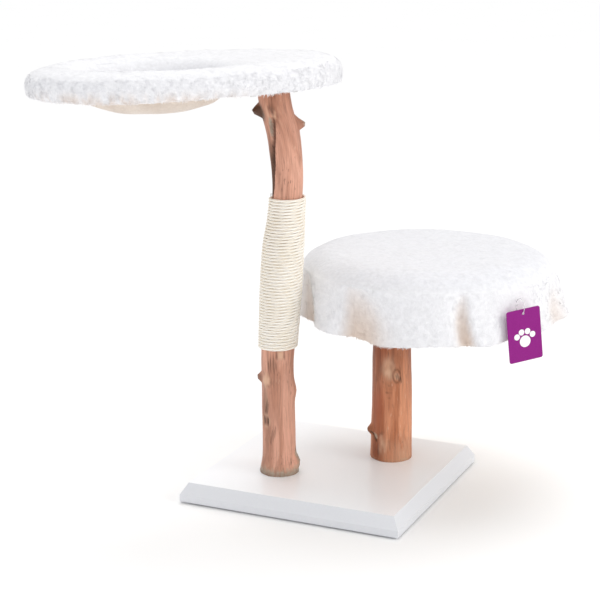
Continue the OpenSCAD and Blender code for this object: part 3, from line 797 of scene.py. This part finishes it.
def makeLoungeCover():
    deselectAll()
    bpy.ops.mesh.primitive_torus_add(
        major_segments=lounge["around"], minor_segments=lounge["profile"], major_radius=1, minor_radius=0.4
    )
    obj = newPiece("loungeCover")
    co = getPoints(obj)
    a = np.arctan2(co[:, 1], co[:, 0])
    b = np.degrees(np.arctan2(co[:, 2], np.hypot(co[:, 0], co[:, 1]) - 1)) % 360
    # share: 0 at the mouth's edge, 1 at the rim; more: offset from it; height
    s, top, z0 = lounge["side"], lounge["top"], tree["loungeZ"]
    lip = lounge["mouthLip"]
    profile = roundedWalk([
        (0, 0, -lip, z0 - 0.3), (0, 0, -lip, 731), (0, 0, -5, 743), (0, 0, 5, 749), (0, 0.1, 10, 752.4),
        (0, 0.35, 5, top - 0.2), (0, 0.7, -6, top + 0.5), (0, 1, -14, top - 0.6), (0, 1, 4, top - 5),
        (0, 1, s * 0.86, top - 15), (0, 1, s, 730), (0, 1, s, 722), (0, 1, s * 0.85, 710.5),
        (0, 1, 4, lounge["under"]), (0, 1, -lounge["turnedIn"], lounge["under"]),
        (0, 1, -lounge["turnedIn"], z0 - 0.6), (0, 1, 0.5, z0 - 0.6), (0, 1, 0.5, 745.6), (0, 0.5, 0, 745.6),
        (0, 0, -0.6, 745.4), (0, 0, -0.6, z0 - 0.3), (0, 0, -lip, z0 - 0.3),
    ], [0, 12, 9, 8, 8, 8, 8, 8, 12, 12, 9, 9, 8, 10, 2, 2, 1, 1, 5, 1, 1, 0])
    weights = [(p[0], p[1] * 60, p[2], p[3]) for p in profile]     # the share counts for the path's length
    share, more, z = [walk(weights, b / 360)[k] for k in (1, 2, 3)]
    share = share / 60
    # the turned-in edge is thick and shaggy on the left, thin over the trunk; the top rises to the right
    left = 1 - ease(np.cos(a - math.radians(-35)) * 1.0 + np.cos(a), -1.1, 0.9)
    thin = np.clip((z0 - z) / (z0 - lounge["under"]), 0, 1.2)
    z = z + thin * (8.5 * (1 - left) + 0.5 * left)
    z = z + np.clip((z - z0) / (top - z0), 0, 1) * (1.5 + 4.0 * np.cos(a) * share)
    inU, inV = ovalPoint(a, tree["bowlX"] - tree["loungeX"], tree["mouthLen"], tree["mouthWid"], more)
    outU, outV = ovalPoint(a, 0.0, tree["loungeLen"], tree["loungeWid"], more)
    u, v = inU * (1 - share) + outU * share, inV * (1 - share) + outV * share
    x, y = loungePlace(u, v)
    setPoints(obj, np.stack([x, y, z], 1) * 0.001)
    # lumps of stuffing and fur, only where the plush can be seen
    co = getPoints(obj)
    normals = getNormals(obj)
    around = np.degrees(a)
    low = (1 - ease(z, 707, 733)) * (share > 0.9) * (more > 0)
    strands = np.clip(0.55 + 1.6 * noiseAt(co, (170, 170, 14), 15, 2), 0, 1)
    # painted shade: warm beige streaks low on the rim's front left
    addFloat(obj, "paintedShade", low * bump(apart(around, -128), 42, 4) * strands * 0.75)
    # painted shade: the level top of the rim is made greyer
    addFloat(obj, "paintedTopShade", ease(normals[:, 2], 0.45, 0.95) * ease(z, 735, 748))
    seen = (z > z0 - 12) & ~((z > z0 - 2) & (more < 1.0) & (z < 746) & (share > 0.02))
    amount = lounge["lump"] * noiseAt(co, 22, 11, 2) + lounge["curl"] * noiseAt(co, 120, 12, 3)
    side = (share > 0.9) & (more > s * 0.5) & (z < 742)
    amount = np.where(side, amount + 0.6 * noiseAt(co, (150, 150, 18), 13, 2), amount)
    amount = np.where(seen, amount, 0)
    setPoints(obj, co + normals * np.clip(amount, -3.5, 3.0)[:, None] * 0.001)
    fixNormals(obj)
    obj.data.shade_smooth()
    setMaterials(obj, plushMat)
    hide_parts("lounge_cover")
    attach(obj, "tree")
    return obj


loungeObj = makeLoungeCover()
print("lounge cover is made")

bowl = {"around": 200, "profile": 120, "wall": 4.0, "drop": 40.0}


def makeBowl():
    deselectAll()
    bpy.ops.mesh.primitive_uv_sphere_add(segments=bowl["around"], ring_count=bowl["profile"], radius=1)
    obj = newPiece("loungeBowl")
    co = getPoints(obj)
    a = np.arctan2(co[:, 1], co[:, 0])
    t = np.degrees(np.arccos(np.clip(co[:, 2], -1, 1))) / 180     # 0 inside the dish, 1 at the bottom outside
    lip, top, drop, wall = lounge["mouthLip"], tree["loungeZ"] - 0.6, bowl["drop"], bowl["wall"]
    steps = [math.radians(g) for g in (0, 8, 16, 25, 34, 43, 52, 60, 68, 75, 82, 88)]
    inner = [(math.sin(g), 0.0, top - (drop - wall) * math.cos(g) ** 0.9) for g in steps]
    outer = [(math.sin(g), wall * math.sin(g), top - drop * math.cos(g) ** 0.9) for g in reversed(steps)]
    path = inner + [(1.0, 6.0, top), (1.0, lip + 6.5, top), (1.0, lip + 6.5, top - 3.0)] + outer
    flat = [(p[0] * 110 + p[1], p[2], p[0], p[1]) for p in path]
    step = np.array([math.hypot(flat[i + 1][0] - flat[i][0], flat[i + 1][1] - flat[i][1])
                     for i in range(len(flat) - 1)])
    at = np.concatenate([[0], np.cumsum(step)]) / step.sum()
    share = np.interp(t, at, [f[2] for f in flat])
    more = np.interp(t, at, [f[3] for f in flat])
    z = np.interp(t, at, [f[1] for f in flat])
    u = tree["bowlX"] - tree["loungeX"] + ((tree["mouthLen"] / 2 - lip) * share + more) * np.cos(a)
    v = ((tree["mouthWid"] / 2 - lip) * share + more) * np.sin(a)
    x, y = loungePlace(u, v)
    p = np.stack([x, y, z], 1)
    soft = noiseAt(p * 0.001, 16, 21, 2) * 1.6 * (share < 0.97)
    pucker = 0.9 * np.sin(a * 34 + 2.0 * noiseAt(p * 0.001, 8, 22, 1))
    pucker = pucker * bump(share - 0.95, 0.12) * (share < 1.0)
    p[:, 2] += soft + pucker
    setPoints(obj, p * 0.001)
    fixNormals(obj)
    obj.data.shade_smooth()
    setMaterials(obj, suedeMat, plushMat)
    lining = [1 if poly.normal.z > 0.02 else 0 for poly in obj.data.polygons]
    obj.data.polygons.foreach_set("material_index", lining)
    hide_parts("lounge_bowl")
    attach(obj, "tree")
    return obj


bowlObj = makeBowl()
print("lounge bowl is made")

seat = {
    "around": 320, "profile": 240, "cloth": 10.0, "crown": 1.0, "flat": 160.0, "shoulderZ": 384.0,
    "shoulderR": 219.0, "shoulderTurn": 1.24, "insideTop": 400.6,
    # the foam inside: its rounding, how far its flat top reaches, and the nearest the cloth comes to its side
    "foamRound": 12.2, "foamReach": 194.6, "insideR": 206.0, "outsideR": 212.0,
    # angle, depth at the hem, half widths to each side in degrees, where it begins down the skirt
    "folds": [(-151, 32, 3.0, 10, -0.05), (-96.5, 30, 3.2, 1.2, 0.0), (-74, 8, 5, 5, 0.2),
              (-40, 11, 8, 8, 0.2), (6, 15, 7, 8, 0.12), (33, 16, 9, 9, 0.1), (68, 15, 8, 8, 0.15),
              (105, 17, 9, 9, 0.1),
              (141, 15, 8, 8, 0.12), (175, 24, 7, 6, -0.1)],
    # angle, how far the hem stands out over the shoulder, height of the hem
    "hem": [(-180, 11, 306), (-168, 13, 300), (-158, 14, 301), (-147, 12, 301), (-137, 14, 293),
            (-125, 15, 296), (-114, 15, 300), (-104, 15, 299), (-96, 13, 297), (-86, 14, 295),
            (-77, 14, 301), (-60, 18, 302),
            (-42, 25, 303), (-24, 37, 297), (-10, 27, 300), (15, 18, 298), (50, 17, 292), (87, 17, 290),
            (122, 16, 290), (160, 12, 300), (180, 11, 300)],
    "lump": 1.0, "curl": 0.3,
}


def skirtShape(a, v):
    # outer radius and height of the skirt: a in degrees, v from 0 at the shoulder to 1 at the hem
    tuck, rise = np.zeros_like(a), np.zeros_like(a)
    for at, paintedShadeMix, before, after, begin in seat["folds"]:
        off = (a - at - 2.5 * np.sin(v * 2.3 + at) + 180) % 360 - 180
        wide = np.where(off < 0, before, after) * (0.85 + 0.5 * v)
        b = bump(off, wide)
        tuck = np.maximum(tuck, paintedShadeMix * b * ease(v, begin - 0.1, 0.8) ** 0.8)
        rise = np.maximum(rise, b)
    at = [row[0] for row in seat["hem"]]
    soft = [np.interp((a + k + 180) % 360 - 180, at, [row[1] for row in seat["hem"]]) for k in (-4, 0, 4)]
    low = [np.interp((a + k + 180) % 360 - 180, at, [row[2] for row in seat["hem"]]) for k in (-4, 0, 4)]
    r = seat["shoulderR"] + sum(soft) / 3 * v ** 0.85
    room = r - seat["outsideR"]
    tuck = room * np.tanh(tuck / room)        # the cloth never reaches the foam's side
    r = r - tuck
    z = seat["shoulderZ"] * (1 - v) + (sum(low) / 3 + 2.0 * rise - 0.25 * tuck) * v
    return r, z, tuck


def makeSeatCover():
    deselectAll()
    bpy.ops.mesh.primitive_uv_sphere_add(segments=seat["around"], ring_count=seat["profile"], radius=1)
    obj = newPiece("seatCover")
    co = getPoints(obj)
    a = np.degrees(np.arctan2(co[:, 1], co[:, 0]))
    t = np.degrees(np.arccos(np.clip(co[:, 2], -1, 1))) / 180
    top, inTop, sweep = tree["seatTop"], seat["insideTop"], seat["shoulderTurn"]
    reach, corner = seat["foamReach"], seat["foamRound"]
    # outside: flat top, soft shoulder, skirt; then under the hem and back up the inside
    marks = [0, 0.235, 0.33, 0.49, 0.51, 0.66, 0.72, 1.0]
    r, z, paintedShade = np.zeros(len(a)), np.zeros(len(a)), np.zeros(len(a))
    part = t <= marks[1]
    flat, shoulder = seat["flat"], seat["shoulderZ"]
    r[part] = flat * t[part] / marks[1]
    z[part] = top + seat["crown"] * (1 - (r[part] / flat) ** 2)
    part = (t > marks[1]) & (t <= marks[2])
    q = (t[part] - marks[1]) / (marks[2] - marks[1]) * sweep
    r[part] = flat + (seat["shoulderR"] - flat) * np.sin(q) / math.sin(sweep)
    z[part] = shoulder + (top - shoulder) * (np.cos(q) - math.cos(sweep)) / (1 - math.cos(sweep))
    part = (t > marks[2]) & (t <= marks[3])
    v = (t[part] - marks[2]) / (marks[3] - marks[2])
    r[part], z[part], paintedShade[part] = skirtShape(a[part], v)
    part = (t > marks[3]) & (t <= marks[4])
    q = (t[part] - marks[3]) / (marks[4] - marks[3]) * math.pi
    hemR, hemZ, paintedShade[part] = skirtShape(a[part], np.ones(part.sum()))
    half = (seat["cloth"] - 1.5) / 2
    r[part] = hemR - half + half * np.cos(q)
    z[part] = hemZ - half * 0.8 * np.sin(q) + 1.0
    part = (t > marks[4]) & (t <= marks[5])
    v = 1 - (t[part] - marks[4]) / (marks[5] - marks[4])
    r[part], z[part] = skirtShape(a[part], v)[:2]
    r[part] = np.maximum(r[part] - (seat["cloth"] - 1.5), seat["insideR"])      # thinner where it is squeezed
    part = (t > marks[5]) & (t <= marks[6])
    q = (t[part] - marks[5]) / (marks[6] - marks[5]) * math.pi / 2
    r[part] = reach + corner * np.cos(q)
    z[part] = inTop - corner + corner * np.sin(q)
    part = t > marks[6]
    r[part] = reach * (1 - (t[part] - marks[6]) / (1 - marks[6]))
    z[part] = inTop
    ar = np.radians(a)
    p = np.stack([tree["seatX"] + r * np.cos(ar), r * np.sin(ar), z], 1) * 0.001
    setPoints(obj, p)
    normals = getNormals(obj)
    outside = t < 0.5
    amount = seat["lump"] * noiseAt(p, 20, 31, 2) + seat["curl"] * noiseAt(p, 120, 32, 3)
    waves = 2.2 * noiseAt(p, (13, 13, 4), 35, 1) * ease(t, marks[1], marks[2] + 0.08)
    amount += np.where(t > marks[1], waves, 0)
    amount = np.where(outside, np.clip(amount, -3.0, 3.0), 0)
    amount *= 1 - 0.7 * bump(t - 0.495, 0.01)
    setPoints(obj, p + normals * amount[:, None] * 0.001)
    # painted shade: warm beige in the folds, as deep as each fold tucks in
    addFloat(obj, "paintedShade", np.clip(paintedShade / 19, 0, 1) ** 1.3)
    # painted shade: the seat's level top is made greyer than its skirt
    addFloat(obj, "paintedTopShade", ease(normals[:, 2], 0.3, 0.95))
    fixNormals(obj)
    obj.data.shade_smooth()
    setMaterials(obj, plushMat)
    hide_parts("seat_cover")
    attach(obj, "cover")
    return obj


seatObj = makeSeatCover()
print("seat cover is made")


# Pile: thin blades of fur that stand on a piece, bunched in tufts

def makePile(name, source, count, seed, where, size, lean, spread, down=0.0):
    rng = np.random.default_rng(seed)
    mesh = source.data
    mesh.calc_loop_triangles()
    tri = np.zeros(len(mesh.loop_triangles) * 3, np.int32)
    mesh.loop_triangles.foreach_get("vertices", tri)
    tri = tri.reshape(-1, 3)
    co = getPoints(source)
    nor = getNormals(source)
    one, two, three = co[tri[:, 0]], co[tri[:, 1]], co[tri[:, 2]]
    area = np.linalg.norm(np.cross(two - one, three - one), axis=1) / 2
    mid, midN = (one + two + three) / 3, nor[tri].mean(1)
    weight = area * np.clip(where(mid * 1000, midN), 0, 5)
    pick = rng.choice(len(tri), size=count, p=weight / weight.sum())
    w = rng.random((count, 2))
    over = w.sum(1) > 1
    w[over] = 1 - w[over]
    root = one[pick] + (two - one)[pick] * w[:, :1] + (three - one)[pick] * w[:, 1:]
    n = midN[pick]
    n /= np.linalg.norm(n, axis=1)[:, None]
    # the hairs lie over, each near its neighbours' way, and their tips lift
    way = np.stack([noiseAt(root, 90, seed + k, 1) for k in (1, 2, 3)], 1) * 3.0
    way = way + rng.normal(0, 0.45, (count, 3))
    way[:, 2] -= down
    way -= n * (way * n).sum(1)[:, None]
    way /= np.linalg.norm(way, axis=1)[:, None]
    tilt = np.radians(rng.normal(lean, spread, count))[:, None]
    way = n * np.cos(tilt) + way * np.sin(tilt)
    side = np.cross(way, n)
    side /= np.linalg.norm(side, axis=1)[:, None]
    long = size[0] * rng.uniform(0.65, 1.25, count) * 0.001
    wide = size[1] * rng.uniform(0.7, 1.2, count) * 0.001
    foot = root - n * 0.0006
    midPoint = foot + way * (long * 0.5)[:, None]
    tip = midPoint + (way - n * 0.25) * (long * 0.5)[:, None]      # the tip droops back to the cloth
    points = np.stack([
        foot - side * wide[:, None] / 2, foot + side * wide[:, None] / 2,
        midPoint + side * wide[:, None] * 0.36, midPoint - side * wide[:, None] * 0.36, tip,
    ], 1).reshape(-1, 3)
    k = np.arange(count) * 5
    mesh = bpy.data.meshes.new(name)
    mesh.vertices.add(count * 5)
    mesh.vertices.foreach_set("co", points.ravel())
    loops = np.stack([k, k + 1, k + 2, k + 3, k + 3, k + 2, k + 4], 1).ravel()
    mesh.loops.add(count * 7)
    mesh.loops.foreach_set("vertex_index", loops.astype(np.int32))
    starts = np.stack([np.arange(count) * 7, np.arange(count) * 7 + 4], 1).ravel()
    mesh.polygons.add(count * 2)
    mesh.polygons.foreach_set("loop_start", starts.astype(np.int32))
    mesh.polygons.foreach_set("loop_total", np.tile([4, 3], count).astype(np.int32))
    mesh.update(calc_edges=True)
    mesh.validate()
    mesh.shade_smooth()
    # each hair is shaded as the cloth it stands on
    mesh.normals_split_custom_set_from_vertices(np.repeat(n, 5, axis=0))
    obj = bpy.data.objects.new(name, mesh)
    scene.collection.objects.link(obj)
    obj.data.materials.append(pileMat)
    # the hairs take the cloth's painted fold shade and painted top shade
    for mask in ("paintedShade", "paintedTopShade"):
        if mask in source.data.attributes:
            values = np.zeros(len(co), np.float32)
            source.data.attributes[mask].data.foreach_get("value", values)
            addFloat(obj, mask, np.repeat(values[tri[pick]].mean(1), 5))
    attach(obj, source["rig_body"])
    return obj


pile = {"count": 36000}


def loungePlan(p):
    x, y = p[:, 0] - tree["loungeX"], p[:, 1]
    return x * math.cos(turn) + y * math.sin(turn), y * math.cos(turn) - x * math.sin(turn)


def loungeTopMask(p, n):
    u, v = loungePlan(p)
    overBowl = u - tree["bowlX"] + tree["loungeX"]
    out = np.hypot(overBowl / (tree["mouthLen"] / 2 + 9), v / (tree["mouthWid"] / 2 + 9))
    return ((n[:, 2] > 0.8) & (p[:, 2] > 744) & (out > 1)) * 1.0


def loungeSideMask(p, n):
    u, v = loungePlan(p)
    out = np.hypot(u / 258, v / 158)
    return ((n[:, 2] <= 0.8) & (p[:, 2] > 702) & (n[:, 2] > -0.9) & (out > 0.9)) * 1.0


def seatSideMask(p, n):
    outward = n[:, 0] * (p[:, 0] - tree["seatX"]) + n[:, 1] * p[:, 1] > 0
    barb = getPoints(nodes["tag_barb"]).mean(0) * 1000
    byTag = np.linalg.norm(p - barb, axis=1) < tree["tagBare"]      # brushed away round the tag's loop
    return (n[:, 2] <= 0.45) * (outward | (p[:, 2] < tree["hemZ"] + 9)) * (p[:, 2] < 404) * ~byTag * 1.0


def bowlMask(p, n):
    return (n[:, 2] > 0.05) * (p[:, 2] < tree["loungeZ"] - 1.5) * 1.0


def seatTopMask(p, n):
    return ((n[:, 2] > 0.45) & (p[:, 2] > 380)) * 1.0


full = pile["count"]
loungeTopPile = makePile("loungeTopPile", loungeObj, full, 41, loungeTopMask, (6.0, 0.8), 81, 4)
loungeSidePile = makePile("loungeSidePile", loungeObj, full, 42, loungeSideMask, (6.5, 0.8), 68, 9, 1.6)
bowlPile = makePile("bowlPile", bowlObj, full // 2, 43, bowlMask, (6.0, 0.8), 78, 6)
seatTopPile = makePile("seatTopPile", seatObj, full, 44, seatTopMask, (6.0, 0.8), 81, 4)
seatSidePile = makePile("seatSidePile", seatObj, int(full * 1.1), 45, seatSideMask, (6.0, 0.8), 68, 9, 1.2)
print("pile is grown")

# Finishes of the pieces that keep their CAD shape

def finishNode(name, mat, bevel=0.0, angle=30):
    obj = nodes[name]
    setMaterials(obj, mat)
    if bevel:
        mod = obj.modifiers.new("softEdge", "BEVEL")
        mod.width = bevel * 0.001
        mod.segments = 3
        mod.limit_method = "ANGLE"
        mod.angle_limit = math.radians(angle)
    return obj


def noiseFinish(name, settings, scale, low, high, strength, distance, stretch=(1, 1, 1), rough=None):
    mat, nodeTree, shader = newMaterial(name, settings)
    place = addNode(nodeTree, "ShaderNodeMapping", None, {"Vector": objectCoords(nodeTree), "Scale": stretch})
    tex = noiseTex(nodeTree, place.outputs[0], scale, 4.0, 0.6)
    feed(shader.inputs["Base Color"], rampNode(nodeTree, tex, (0.32, low), (0.68, high)))
    if rough:
        feed(shader.inputs["Roughness"], rampNode(nodeTree, tex, (0.3, rough[0]), (0.7, rough[1])))
    bumpTo(nodeTree, shader, tex, strength, distance)
    return mat


lacquer = noiseFinish("whiteLacquer", {"Coat Weight": 0.25, "Coat Roughness": 0.18}, 260.0,
                      (0.94, 0.955, 0.98), (0.955, 0.97, 0.995), 0.05, 0.0004, rough=(0.3, 0.42))
felt = noiseFinish("greyFelt", {"Roughness": 0.95, "Sheen Weight": 0.2}, 900.0,
                   (0.16, 0.16, 0.17), (0.28, 0.28, 0.29), 0.6, 0.0008)
zinc = noiseFinish("zincSteel", {"Metallic": 1.0}, 1200.0, (0.50, 0.50, 0.49), (0.72, 0.72, 0.70),
                   0.15, 0.0002, rough=(0.28, 0.5))
brass = noiseFinish("insertBrass", {"Metallic": 1.0}, 900.0, (0.62, 0.43, 0.18), (0.78, 0.58, 0.27),
                    0.12, 0.0002, rough=(0.25, 0.42))
plywood = noiseFinish("platformBoard", {"Roughness": 0.6}, 60.0, (0.50, 0.34, 0.19), (0.66, 0.49, 0.30),
                      0.25, 0.0005, stretch=(0.12, 1, 2.5))
foam = noiseFinish("foamPad", {"Roughness": 0.95}, 1500.0, (0.66, 0.62, 0.46), (0.82, 0.79, 0.66),
                   0.8, 0.0008)
nylon = noiseFinish("clearNylon", {"Transmission Weight": 0.55, "IOR": 1.5}, 700.0, (0.88, 0.89, 0.90),
                    (0.96, 0.96, 0.97), 0.08, 0.0001, rough=(0.15, 0.3))
card = noiseFinish("purpleCard", {"Specular IOR Level": 0.2}, 500.0, (0.24, 0.006, 0.19),
                   (0.27, 0.009, 0.215), 0.06, 0.0002, rough=(0.35, 0.5))
ink = noiseFinish("whiteInk", {}, 700.0, 0.84, 0.92, 0.1, 0.0001, rough=(0.4, 0.55))

# painted shade: faces of the plate that do not face up are darkened by their normal
lacquerTree = lacquer.node_tree
lacquerColour = lacquerTree.nodes["Principled BSDF"].inputs["Base Color"]
lacquerSide = addNode(lacquerTree, "ShaderNodeNewGeometry").outputs["True Normal"]
lacquerUp = addNode(lacquerTree, "ShaderNodeSeparateXYZ", None, {0: lacquerSide}).outputs["Z"]
lacquerBevelShade = rampNode(lacquerTree, lacquerUp, (0.75, (0.78, 0.78, 0.795)), (0.97, 1))
lacquerWhite = lacquerColour.links[0].from_socket
feed(lacquerColour, mixColour(lacquerTree, 1.0, lacquerWhite, lacquerBevelShade, "MULTIPLY"))
finishNode("base_plate", lacquer, 1.1, 12)
for name, mat in (("floor_felt", felt), ("trunk_inserts", brass), ("lounge_board", plywood),
                  ("seat_board", plywood), ("lounge_foam", foam), ("seat_foam", foam), ("tag_barb", nylon),
                  ("tag_loop", nylon), ("tag_card", card), ("tag_print", ink)):
    finishNode(name, mat)
for name in ("base_bolts", "base_washers", "base_screws", "platform_bolts", "platform_washers",
             "platform_screws", "rope_staples", "bowl_staples", "cover_staples"):
    finishNode(name, zinc)
print("CAD pieces have their finishes")

# Floor
deselectAll()
bpy.ops.mesh.primitive_plane_add(size=90, location=(0, 0, 0))
floorObj = bpy.context.object
floorObj.name = "floorPaper"
paper = {"Roughness": 0.9, "Specular IOR Level": 0.1}
floorMat = noiseFinish("floorPaper", paper, 3.0, 0.945, 0.955, 0.02, 0.0005)
floorObj.data.materials.append(floorMat)
